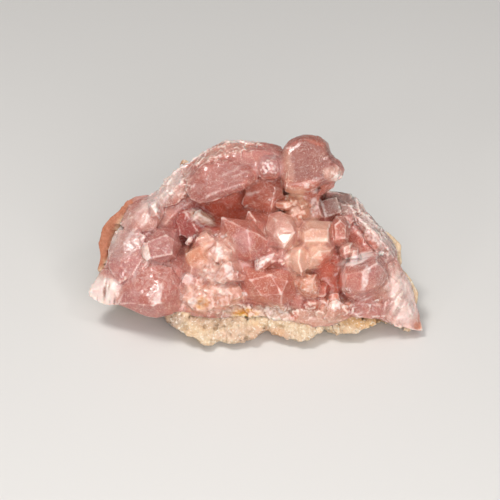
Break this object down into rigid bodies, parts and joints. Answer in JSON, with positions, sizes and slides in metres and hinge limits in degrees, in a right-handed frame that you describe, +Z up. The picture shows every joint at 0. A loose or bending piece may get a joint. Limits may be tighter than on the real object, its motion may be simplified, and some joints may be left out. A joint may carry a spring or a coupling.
{
  "type": "pink amethyst mineral specimen",
  "caption": "Broken piece of geode wall with a hollow of pink quartz crystals under an overhanging roof, lying on its stony rind.",
  "frame": {"origin": "middle of the specimen's box, on the plane it rests on", "axes": "+X along the specimen's long side, -Y towards the viewer of the hollow, +Z up"},
  "size_m": [0.0698, 0.0378, 0.0381],
  "materials": {
    "matrix_rind": "rough, crumbly cream rock with an orange and grey-green skin at the left",
    "amethyst_wall": "translucent pink quartz, glossy on crystal faces and frosted white at the broken rim",
    "hollow_crystals": "translucent salmon-pink quartz crystals with glossy flat faces"
  },
  "bodies": {
    "root": {"matrix_rind": "matrix_rind", "amethyst_wall": "amethyst_wall", "hollow_crystals": "hollow_crystals"}
  },
  "joints": []
}
